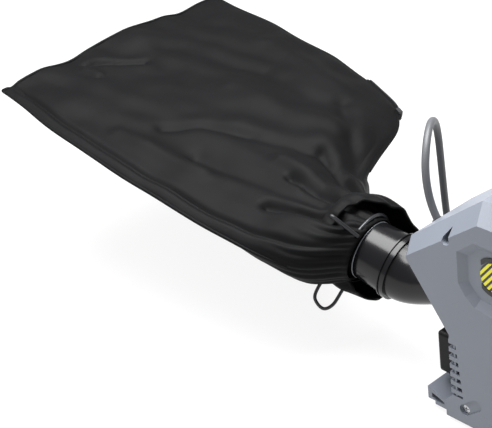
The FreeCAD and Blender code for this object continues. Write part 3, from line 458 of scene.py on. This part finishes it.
def bag_surface(share, turn):
    """A point of the bag's cloth. share runs from the throat to the rear, turn once around."""
    depth = bpy.context.scene.leaf_vac_sizes.crease_depth
    along = BAG_LENGTH * share
    left, right = bag_outline(along)
    middle, half = (left + right) / 2, (left - right) / 2
    thick = smooth_between(HALF_THICKNESS, along)
    # The section changes from a circle at the throat to a flat pillow with thin edges.
    flat = min(1.0, max(0.0, (along - 0.012) / 0.09))
    cosine, sine = math.cos(turn), math.sin(turn)
    across = math.copysign(abs(cosine) ** (1.0 - 0.12 * flat), cosine)
    lift = math.copysign(abs(sine) ** (1.0 + 0.25 * flat), sine)
    # Near the concave front left edge the two faces of cloth lie close together.
    near_cut = math.exp(-(((along - 0.098) / 0.035) ** 2))
    lift *= 1 - 0.62 * near_cut * between([(-0.3, 0.0), (0.7, 1.0)], max(across, -0.3))
    y = middle + half * across
    side = 1 if sine >= 0 else -1
    bulk = abs(lift) ** 0.6
    z = lift * thick
    z += side * bulk * depth * crease_height(along, y, side) * min(1.0, along / 0.04)
    slow = noise.noise(Vector((along * 9, y * 9, side * 3.1)))
    fine = noise.noise(Vector((along * 30, y * 22, side * 7.7)))
    drape = noise.noise(Vector((along * 14 - y * 9, y * 34 + along * 8, side * 2.3)))
    z += side * bulk * (0.0055 * slow + 0.0026 * fine + 0.0048 * drape) * min(1.0, along / 0.05)
    if side > 0:
        # The topstitched seam draws in a groove along the right edge.
        z -= 0.0042 * math.exp(-(((y - right - 0.014) / 0.0034) ** 2)) * min(1.0, along / 0.06)
    # Gathers around the throat die away into the body of the bag.
    gather = math.exp(-((along / 0.055) ** 2)) * min(1.0, along / 0.008)
    pleat = 0.5 * math.sin(turn * 17 + 2.0 * math.sin(turn * 3)) + 0.5 * math.sin(turn * 29 + 1.0)
    y += cosine * pleat * 0.0018 * gather
    z += sine * pleat * 0.0018 * gather
    # Cloth hangs a little between the edges, more at the free rear.
    sag = 0.006 * math.sin(math.pi * share) * (1 - across * across)
    z -= sag
    # The rear edge waves, and slants forward to the left.
    ripple = 0.0022 * share ** 6 * math.sin(across * 7.0 + 0.8)
    back = along - BAG_REAR_SLANT * share * share * (y - right) / (left - right)
    z += ripple - 0.009 * share ** 3
    return PORT_FRAME @ Vector((-back, y, z))


def bag_mesh(rows, columns):
    points = []
    faces = []
    for i in range(rows + 1):
        share = i / rows
        for j in range(columns):
            points.append(bag_surface(share, 2 * math.pi * j / columns))
    for i in range(rows):
        for j in range(columns):
            a, b = i * columns + j, i * columns + (j + 1) % columns
            faces.append((a, b, b + columns, a + columns))
    last = rows * columns
    for j in range(columns // 2 - 1):
        # The rear edge is closed by joining the upper and lower cloth.
        upper, lower = last + 1 + j, last + columns - 1 - j
        if j == 0:
            faces.append((last, last + 1, last + columns - 1))
        if upper + 1 < lower - 1:
            faces.append((upper, upper + 1, lower - 1, lower))
        elif upper + 1 == lower - 1:
            faces.append((upper, upper + 1, lower))
    return mesh_from("bag_cloth", points, faces)


def seam_points(turn, start, end, count, outward):
    """Points along one edge of the bag, set out from the cloth."""
    points = []
    for i in range(count):
        share = start + (end - start) * i / (count - 1)
        here = bag_surface(share, turn)
        inner = bag_surface(share, turn + math.pi)
        points.append(here + (here - inner).normalized() * outward)
    return points


class LEAFVAC_OT_bag(bpy.types.Operator):
    """Make the cloth bag with its edge binding, topstitching and hem"""
    bl_idname = "leafvac.bag"
    bl_label = "Bag"

    def execute(self, context):
        rows, columns = (150, 220)
        cloth = object_from("bag_cloth", bag_mesh(rows, columns), "bag_cloth", "bag_set", "bag")
        thick = cloth.modifiers.new("cloth thickness", "SOLIDIFY")
        thick.thickness = 0.0011
        thick.offset = -1
        self.bindings()
        self.cuff()
        self.stitches()
        return {"FINISHED"}

    def bindings(self):
        """A folded binding along both long edges and across the rear."""
        for name, turn in (("binding_right", math.pi), ("binding_left", 0.0)):
            begin = 0.09 if turn else 0.17
            path = seam_points(turn, begin, 0.995, 60, 0.0006)
            object_from(name, tube_mesh(name, path, 0.0021), "bag_cloth", "bag_set")
        rear = [bag_surface(1.0, math.pi * (1 - i / 40)) for i in range(41)]
        object_from("binding_rear", tube_mesh("binding_rear", rear, 0.0022), "bag_cloth", "bag_set")

    def cuff(self):
        """The loose skirt of cloth outside the throat, with a slanted and gathered lip."""
        rows, columns = 26, 190
        points = []
        faces = []
        for i in range(rows + 1):
            share = i / rows
            for j in range(columns):
                points.append(cuff_surface(share, 2 * math.pi * j / columns))
        for i in range(rows):
            for j in range(columns):
                a, b = i * columns + j, i * columns + (j + 1) % columns
                faces.append((a, a + columns, b + columns, b))
        skirt = object_from("bag_cuff", mesh_from("bag_cuff", points, faces), "bag_cloth", "bag_set")
        thick = skirt.modifiers.new("cloth thickness", "SOLIDIFY")
        thick.thickness = 0.0012
        hem = [cuff_surface(1.0, 2 * math.pi * j / 90) for j in range(90)]
        object_from("cuff_hem", tube_mesh("cuff_hem", hem, 0.0017, closed=True), "bag_cloth", "bag_set")

    def stitches(self):
        """Short raised stitches beside the right edge and across the rear."""
        mesh = bpy.data.meshes.new("stitching")
        build = bmesh.new()
        rows = []
        for i in range(120):
            share = 0.14 + 0.84 * i / 119
            side = math.radians(158)
            rows.append((bag_surface(share, side), bag_surface(share + 0.004, side)))
        for i in range(70):
            turn = math.radians(12 + 156 * i / 69)
            rows.append((bag_surface(0.972, turn), bag_surface(0.972, turn + 0.012)))
        for start, end in rows:
            middle = (start + end) / 2 + PORT_TURN.to_3x3() @ Vector((0, 0, 0.0004))
            direction = (end - start).normalized()
            turn = Vector((1, 0, 0)).rotation_difference(direction).to_matrix().to_4x4()
            size = Matrix.Diagonal((0.0026, 0.0007, 0.0007, 1))
            bmesh.ops.create_cube(build, size=1, matrix=Matrix.Translation(middle) @ turn @ size)
        build.to_mesh(mesh)
        build.free()
        object_from("stitching", mesh, "bag_cloth", "bag_set", smooth=False)


def cuff_surface(share, turn):
    """The skirt runs from inside the bag's neck forward to its lip. turn 0 is the left side."""
    cosine, sine = math.cos(turn), math.sin(turn)
    lip = 0.0035 + 0.0165 * (cosine - sine) + 0.0022 * math.sin(turn * 7 + 0.7) + 0.0014 * math.sin(turn * 13)
    away = max(0.0, math.cos(turn - math.radians(135))) ** 0.7
    lip -= 0.018 * away
    start = -0.044
    lip = max(lip, start + 0.012)
    x = start + (lip - start) * share
    swell = math.sin(math.pi * min(1.0, share * 0.62 + 0.06))
    radius = 0.0425 + 0.0125 * swell * (1 - 0.75 * away)
    fold = math.sin(turn * 11 + 1.3 * math.sin(turn * 2)) + 0.6 * math.sin(turn * 19 + 0.6)
    radius += 0.0013 * fold * share + 0.0012 * noise.noise(Vector((x * 60, cosine * 2.2, sine * 2.2)))
    # The lower ear of the clamp passes a dip in the lip.
    ear = math.cos(turn - math.radians(221))
    radius -= 0.010 * share * max(0.0, ear) ** 14
    return PORT_FRAME @ Vector((x, radius * cosine, radius * sine))


# --- clamp, zip and port ------------------------------------------------------------------------
CLAMP_X = -0.006
CLAMP_RING = 0.0379
CLAMP_LOOP = [(-0.006, -0.0232, -0.030), (-0.0072, -0.0330, -0.0415), (-0.0085, -0.0450, -0.0545),
              (-0.0147, -0.0535, -0.0580), (-0.0255, -0.0545, -0.0500), (-0.0279, -0.047, -0.040),
              (-0.0265, -0.036, -0.0290)]
EAR_TURN = 128.0
EAR_REACH = 0.032
EAR_LEAN = -0.020


def ear_path():
    """The narrow loop of wire that lies back over the cloth from the clamp's ring."""
    turn = math.radians(EAR_TURN)
    out = Vector((0, math.cos(turn), math.sin(turn)))
    base = Vector((CLAMP_X, 0, 0)) + out * (CLAMP_RING - 0.0005)
    tip = base + out * EAR_REACH + Vector((EAR_LEAN, 0, 0))
    # The loop stands on edge over the cloth.
    across = Vector((0.6, -0.55, 0.58))
    across = (across - (tip - base).normalized() * across.dot((tip - base).normalized())).normalized()
    steps = [(base, 1.3), (base.lerp(tip, 0.3), 1.0), (base.lerp(tip, 0.7), 1.0), (tip, 0.9)]
    there = [p + across * 0.0034 * w for p, w in steps]
    back = [p - across * 0.0034 * w for p, w in reversed(steps)]
    return [PORT_FRAME @ p for p in there + back]


class LEAFVAC_OT_clamp(bpy.types.Operator):
    """Make the spring wire clamp around the bag's throat"""
    bl_idname = "leafvac.clamp"
    bl_label = "Bag clamp"

    def execute(self, context):
        radius = context.scene.leaf_vac_sizes.wire_radius
        ring = []
        for i in range(48):
            turn = 2 * math.pi * i / 48
            spoke = Vector((CLAMP_X, CLAMP_RING * math.cos(turn), CLAMP_RING * math.sin(turn)))
            ring.append(PORT_FRAME @ spoke)
        parts = [tube_mesh("ring", ring, radius, closed=True)]
        loop = through([PORT_FRAME @ Vector(p) for p in CLAMP_LOOP])
        parts.append(tube_mesh("loop", loop, radius))
        parts.append(tube_mesh("ear", ear_path(), radius))
        joined = bmesh.new()
        for part in parts:
            joined.from_mesh(part)
        mesh = bpy.data.meshes.new("clamp_wire")
        joined.to_mesh(mesh)
        joined.free()
        object_from("clamp_wire", mesh, "wire_black", "bag_set", "bag_clamp")
        return {"FINISHED"}


class LEAFVAC_OT_zip(bpy.types.Operator):
    """Make the zip's tape, its teeth, its slider and its pull"""
    bl_idname = "leafvac.zip"
    bl_label = "Zip"

    def execute(self, context):
        dress_node("zip_slider", 0.0005)
        dress_node("zip_pull", 0.0003)
        self.tape()
        self.teeth()
        return {"FINISHED"}

    def edge_place(self, along, out):
        """A place beside the bag's left edge, behind its front corner, and the edge's direction there."""
        left = bag_outline(along)[0]
        ahead = bag_outline(along + 0.002)[0]
        run = Vector((-0.002, ahead - left, 0)).normalized()
        middle = bag_surface(along / BAG_LENGTH, 0.0)
        outward = PORT_TURN.to_3x3() @ Vector((run.y, -run.x, 0))
        return middle + outward * out, PORT_TURN.to_3x3() @ run, outward

    def tape(self):
        """A woven tape that stands out from the cloth along the edge."""
        points = []
        faces = []
        count = 40
        for i in range(count + 1):
            along = 0.126 + 0.080 * i / count
            for out, lift in ((-0.002, 0.0010), (0.0052, 0.0007), (0.0052, -0.0007), (-0.002, -0.0010)):
                place = self.edge_place(along, out)[0]
                points.append(place + PORT_TURN.to_3x3() @ Vector((0, 0, lift)))
        for i in range(count):
            for j in range(4):
                a, b = 4 * i + j, 4 * i + (j + 1) % 4
                faces.append((a, b, b + 4, a + 4))
        faces += [(3, 2, 1, 0), (4 * count, 4 * count + 1, 4 * count + 2, 4 * count + 3)]
        object_from("zip_tape_cloth", mesh_from("zip_tape_cloth", points, faces), "bag_cloth", "bag_set",
                    "zip_tape", smooth=False)

    def teeth(self):
        """Two rows of teeth along the tape."""
        teeth = bmesh.new()
        for i in range(42):
            for side in (-1, 1):
                along = 0.1365 + i * 0.0016 + (0.0008 if side > 0 else 0)
                place, run, outward = self.edge_place(along, 0.0056)
                up = run.cross(outward)
                turn = Matrix((run, outward, up)).transposed().to_4x4()
                place = place + up * side * 0.0009
                size = Matrix.Diagonal((0.0009, 0.0024, 0.0016, 1))
                bmesh.ops.create_cube(teeth, size=1, matrix=Matrix.Translation(place) @ turn @ size)
        mesh = bpy.data.meshes.new("zip_teeth")
        teeth.to_mesh(mesh)
        teeth.free()
        object_from("zip_teeth", mesh, "wire_black", "bag_set", smooth=False)


class LEAFVAC_OT_port(bpy.types.Operator):
    """Finish the outlet port: base, step ring and sleeve, with a lighter bead on the sleeve's rim as a
    painted highlight
    """
    bl_idname = "leafvac.port"
    bl_label = "Outlet port"

    def execute(self, context):
        for node in ("port_base", "step_ring", "connector_sleeve"):
            dress_node(node, 0.0005)
        # A thin rolled lip on the sleeve's rim, in the lighter motor can metal rather than the sleeve's
        # black, paints the rim's edge highlight.
        rim = []
        for i in range(64):
            turn = 2 * math.pi * i / 64
            rim.append(PORT_FRAME @ Vector((0.0004, 0.0326 * math.cos(turn), 0.0326 * math.sin(turn))))
        object_from("sleeve_rim_highlight_bead", tube_mesh("sleeve_rim_highlight_bead", rim, 0.0006, closed=True),
                    "motor_metal", "machine")
        return {"FINISHED"}


# --- machine ------------------------------------------------------------------------------------
class LEAFVAC_OT_housing(bpy.types.Operator):
    """Finish the housing halves, their screws, the panel, the bumper, the bracket and the skid"""
    bl_idname = "leafvac.housing"
    bl_label = "Housing"

    def execute(self, context):
        edge = context.scene.leaf_vac_sizes.edge_round
        for node in ("housing_right", "housing_left"):
            dress_node(node, edge)
        dress_node("foot_bracket", 0.0008)
        dress_node("rear_bumper", 0.0)
        dress_node("base_skid", 0.0)
        dress_node("housing_screws", 0.0004)
        dress_node("panel_disc", 0.0002)
        dress_node("panel_arcs", 0.0002)
        dress_node("speed_dial", 0.0005)
        self.dial_ribs()
        return {"FINISHED"}

    def dial_ribs(self):
        """Ribs around the speed dial for the fingers."""
        low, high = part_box("speed_dial")
        centre = Vector(((low[0] + high[0]) / 2, 0, (low[2] + high[2]) / 2))
        radius = (high[0] - low[0]) / 2
        ribs = bmesh.new()
        count = 30
        for i in range(count):
            turn = 2 * math.pi * i / count
            place = centre + Vector((radius * math.cos(turn), high[1] - 0.0050, radius * math.sin(turn)))
            spin = Matrix.Rotation(-turn, 4, "Y")
            size = Matrix.Diagonal((0.0012, 0.0070, 0.0014, 1))
            bmesh.ops.create_cube(ribs, size=1, matrix=Matrix.Translation(place) @ spin @ size)
        mesh = bpy.data.meshes.new("dial_ribs")
        ribs.to_mesh(mesh)
        ribs.free()
        object_from("dial_ribs", mesh, "black_plastic", "dial", smooth=False)


class LEAFVAC_OT_handle(bpy.types.Operator):
    """Finish the handle with its grip, trigger, lock button and switch"""
    bl_idname = "leafvac.handle"
    bl_label = "Handle"

    def execute(self, context):
        for node in ("handle_right", "handle_left"):
            dress_node(node, 0.0)
        for node in ("trigger", "lock_button", "switch_module", "handle_screws", "trigger_pin"):
            dress_node(node, 0.0)
        dress_node("grip", 0.0)
        self.grip_ribs()
        self.spring()
        return {"FINISHED"}

    def grip_ribs(self):
        """Low cross ribs on the soft grip."""
        low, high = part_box("grip")
        slope = math.atan2(0.016, 0.088)
        ribs = bmesh.new()
        for i in range(11):
            share = (i + 1.5) / 13
            x = low[0] + (high[0] - low[0]) * share
            z = low[2] + 0.0042 + (x - low[0]) * math.tan(slope)
            spin = Matrix.Rotation(-slope, 4, "Y")
            size = Matrix.Diagonal((0.0022, 0.0150, 0.0016, 1))
            bmesh.ops.create_cube(ribs, size=1, matrix=Matrix.Translation((x, 0, z)) @ spin @ size)
        mesh = bpy.data.meshes.new("grip_ribs")
        ribs.to_mesh(mesh)
        ribs.free()
        piece = object_from("grip_ribs", mesh, "soft_black", "machine", smooth=False)
        rounding = piece.modifiers.new("rounds", "BEVEL")
        rounding.width = 0.0004

    def spring(self):
        """The trigger's spring, which shortens as the trigger comes up; here it only gets its material and a
        mesh of its own.
        """
        spring = dress_node("trigger_spring", 0.0)
        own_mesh(spring)


class LEAFVAC_OT_inside(bpy.types.Operator):
    """Finish the motor, the fan and the ducts inside the housing"""
    bl_idname = "leafvac.inside"
    bl_label = "Motor and fan"

    def execute(self, context):
        for node in ("motor_can", "stator", "rotor", "commutator", "motor_shaft", "brush_holders",
                     "bearing_rear", "bearing_front", "motor_plate", "fan_volute", "discharge_duct",
                     "impeller", "mulching_blade", "fan_washer", "fan_nut"):
            dress_node(node, 0.0)
        return {"FINISHED"}


class LEAFVAC_OT_intake(bpy.types.Operator):
    """Finish the cover, the suction tube, the nozzle and its wheels"""
    bl_idname = "leafvac.intake"
    bl_label = "Tube and nozzle"

    def execute(self, context):
        for node in ("intake_cover", "cover_screws", "suction_tube", "nozzle"):
            dress_node(node, 0.0)
        for node in ("nozzle_axle", "nozzle_wheel_right", "nozzle_wheel_left", "axle_caps"):
            dress_node(node, 0.0)
        self.tube_ribs()
        self.treads()
        return {"FINISHED"}

    def tube_ribs(self):
        """Stiffening rings around the suction tube."""
        low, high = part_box("suction_tube")
        centre_z = (low[2] + high[2]) / 2
        radius = (high[2] - low[2]) / 2 - 0.0022
        for i, share in enumerate((0.30, 0.52, 0.74)):
            x = low[0] + (high[0] - low[0]) * share
            turns = [2 * math.pi * j / 48 for j in range(48)]
            ring = [(x, radius * math.cos(turn), centre_z + radius * math.sin(turn)) for turn in turns]
            object_from(f"tube_ring_{i}", tube_mesh(f"tube_ring_{i}", ring, 0.0016, closed=True),
                        "black_plastic", "tube_set")

    def treads(self):
        """Shallow tread blocks around each wheel."""
        for node in ("nozzle_wheel_right", "nozzle_wheel_left"):
            low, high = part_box(node)
            centre = Vector(((low[0] + high[0]) / 2, (low[1] + high[1]) / 2, (low[2] + high[2]) / 2))
            radius = (high[2] - low[2]) / 2 - 0.0004
            blocks = bmesh.new()
            for i in range(20):
                turn = 2 * math.pi * i / 20
                place = centre + Vector((radius * math.cos(turn), 0, radius * math.sin(turn)))
                spin = Matrix.Rotation(-turn, 4, "Y")
                size = Matrix.Diagonal((0.0009, 0.0118, 0.0022, 1))
                bmesh.ops.create_cube(blocks, size=1, matrix=Matrix.Translation(place) @ spin @ size)
            mesh = bpy.data.meshes.new(node + "_tread")
            blocks.to_mesh(mesh)
            blocks.free()
            object_from(node + "_tread", mesh, "soft_black", body_of_node(node), smooth=False)


# --- cord ---------------------------------------------------------------------------------------
def coil_points():
    """The turns of the coil: inwards on the floor, then outwards on top."""
    points = []
    turns = len(COIL_RADII)
    gap = COIL_RADII[0] - COIL_RADII[1]
    swell = 1 / math.cos(math.pi / COIL_POINTS)
    total = 2 * turns * COIL_POINTS
    for i in range(1, total):
        done = i / COIL_POINTS
        radius = COIL_RADII[0] - gap * min(done, 2 * turns - done, turns - 1)
        rise = min(max((done - turns + 0.25) / 0.5, 0.0), 1.0)
        level = 0.004 + 0.008 * rise
        turn = -math.pi / 2 + 2 * math.pi * done
        points.append((COIL_CENTRE[0] + radius * swell * math.cos(turn),
                       COIL_CENTRE[1] + radius * swell * math.sin(turn), level))
    return points


class LEAFVAC_OT_cord(bpy.types.Operator):
    """Make the mains cord with its strain relief, coil, tie and plug"""
    bl_idname = "leafvac.cord"
    bl_label = "Mains cord"

    def execute(self, context):
        sizes = context.scene.leaf_vac_sizes
        curve = bpy.data.curves.new("mains_cord", "CURVE")
        curve.dimensions = "3D"
        curve.bevel_depth = sizes.cord_radius
        curve.bevel_resolution = 5
        curve.use_fill_caps = True
        curve.resolution_u = 6
        route = list(CORD_ROUTE) + [(0.014, 0.116, 0.004)] + coil_points()
        route += [(0.014, 0.116, 0.012), (0.030, 0.116, 0.012), PLUG_END]
        spline = curve.splines.new("NURBS")
        spline.points.add(len(route) - 1)
        for target, point in zip(spline.points, route):
            target.co = (*point, 1)
        spline.order_u = 3
        spline.use_endpoint_u = True
        curve.materials.append(material_for("cord_grey"))
        cord = bpy.data.objects.new("mains_cord", curve)
        context.scene.collection.objects.link(cord)
        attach(cord, "machine")
        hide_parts("cord_tube", "cord_coil")
        dress_node("strain_relief", 0.0)
        tie = dress_node("cord_tie", 0.0006)
        plug = dress_node("plug", 0.0)
        pins = dress_node("plug_pins", 0.0)
        return {"FINISHED"}


# --- stage --------------------------------------------------------------------------------------
CAMERA_PLACE = (0.6684, -0.8568, 0.8558)
CAMERA_RIGHT = (0.6629, 0.7388, -0.1217)
CAMERA_UP = (-0.2926, 0.4053, 0.8662)
CAMERA_BACK = (0.6892, -0.5385, 0.4848)


def area_light(name, place, target, size, power, colour=(1, 1, 1)):
    data = bpy.data.lights.new(name, "AREA")
    data.shape = "RECTANGLE"
    data.size, data.size_y = size
    data.energy = power
    data.color = colour
    lamp = bpy.data.objects.new(name, data)
    bpy.context.scene.collection.objects.link(lamp)
    lamp.location = place
    aim = Vector(target) - Vector(place)
    lamp.rotation_euler = aim.to_track_quat("-Z", "Y").to_euler()
    return lamp


class LEAFVAC_OT_stage(bpy.types.Operator):
    """Make the camera, the floor and the soft studio lights"""
    bl_idname = "leafvac.stage"
    bl_label = "Stage"

    def execute(self, context):
        data = bpy.data.cameras.new("camera")
        data.lens = 100
        data.sensor_width = 36
        camera = bpy.data.objects.new("camera", data)
        context.scene.collection.objects.link(camera)
        turn = Matrix((CAMERA_RIGHT, CAMERA_UP, CAMERA_BACK)).transposed().to_4x4()
        camera.matrix_world = Matrix.Translation(CAMERA_PLACE) @ turn
        context.scene.camera = camera
        corners = [(-6, -6, -0.0005), (6, -6, -0.0005), (6, 6, -0.0005), (-6, 6, -0.0005)]
        floor_mesh = mesh_from("floor", corners, [(0, 1, 2, 3)])
        floor = bpy.data.objects.new("floor", floor_mesh)
        lit_floor = new_material("lit white floor", (0.14, 0.14, 0.14), 0.9)
        glow = lit_floor.node_tree.nodes["Principled BSDF"]
        glow.inputs["Emission Color"].default_value = (1, 1, 1, 1)
        glow.inputs["Specular IOR Level"].default_value = 0.0
        glow.inputs["Emission Strength"].default_value = 0.88
        floor_mesh.materials.append(lit_floor)
        context.scene.collection.objects.link(floor)
        middle = (-0.2, 0.05, 0.12)
        lamps = [
            area_light("top softbox", (-0.35, 0.15, 1.8), middle, (1.7, 1.3), 105),
            area_light("front softbox", (1.4, -0.9, 0.9), middle, (0.9, 1.1), 1.5),
            area_light("rear strip", (-1.2, -0.9, 1.1), middle, (0.5, 1.4), 9),
        ]
        world = bpy.data.worlds.new("studio")
        world.use_nodes = True
        world.node_tree.nodes["Background"].inputs["Color"].default_value = (1, 1, 1, 1)
        world.node_tree.nodes["Background"].inputs["Strength"].default_value = 0.36
        context.scene.world = world
        context.scene.view_settings.view_transform = "Standard"
        return {"FINISHED"}


class LEAFVAC_PT_panel(bpy.types.Panel):
    """Lists the builders and the sizes and colours they use"""
    bl_idname = "LEAFVAC_PT_panel"
    bl_label = "Leaf Vacuum Mulcher"
    bl_space_type = "VIEW_3D"
    bl_region_type = "UI"
    bl_category = "Leaf Vacuum"

    def draw(self, context):
        layout = self.layout
        for operator in OPERATORS:
            layout.operator(operator.bl_idname)
        for group in (context.scene.leaf_vac_sizes, context.scene.leaf_vac_colours):
            for name in group.bl_rna.properties.keys():
                if name not in ("rna_type", "name"):
                    layout.prop(group, name)


OPERATORS = (LEAFVAC_OT_stage, LEAFVAC_OT_cord, LEAFVAC_OT_housing, LEAFVAC_OT_port, LEAFVAC_OT_bag,
             LEAFVAC_OT_clamp, LEAFVAC_OT_zip, LEAFVAC_OT_handle, LEAFVAC_OT_inside, LEAFVAC_OT_intake)
CLASSES = (LeafVacSizes, LeafVacColours, *OPERATORS, LEAFVAC_PT_panel)


def register():
    for item in CLASSES:
        bpy.utils.register_class(item)
    bpy.types.Scene.leaf_vac_sizes = bpy.props.PointerProperty(type=LeafVacSizes)
    bpy.types.Scene.leaf_vac_colours = bpy.props.PointerProperty(type=LeafVacColours)


def unregister():
    del bpy.types.Scene.leaf_vac_colours
    del bpy.types.Scene.leaf_vac_sizes
    for item in reversed(CLASSES):
        bpy.utils.unregister_class(item)


def main():
    register()
    bpy.ops.leafvac.stage()
    bpy.ops.leafvac.cord()
    bpy.ops.leafvac.housing()
    bpy.ops.leafvac.port()
    bpy.ops.leafvac.bag()
    bpy.ops.leafvac.clamp()
    bpy.ops.leafvac.zip()
    bpy.ops.leafvac.handle()
    bpy.ops.leafvac.inside()
    bpy.ops.leafvac.intake()


if __name__ == "__main__":
    main()
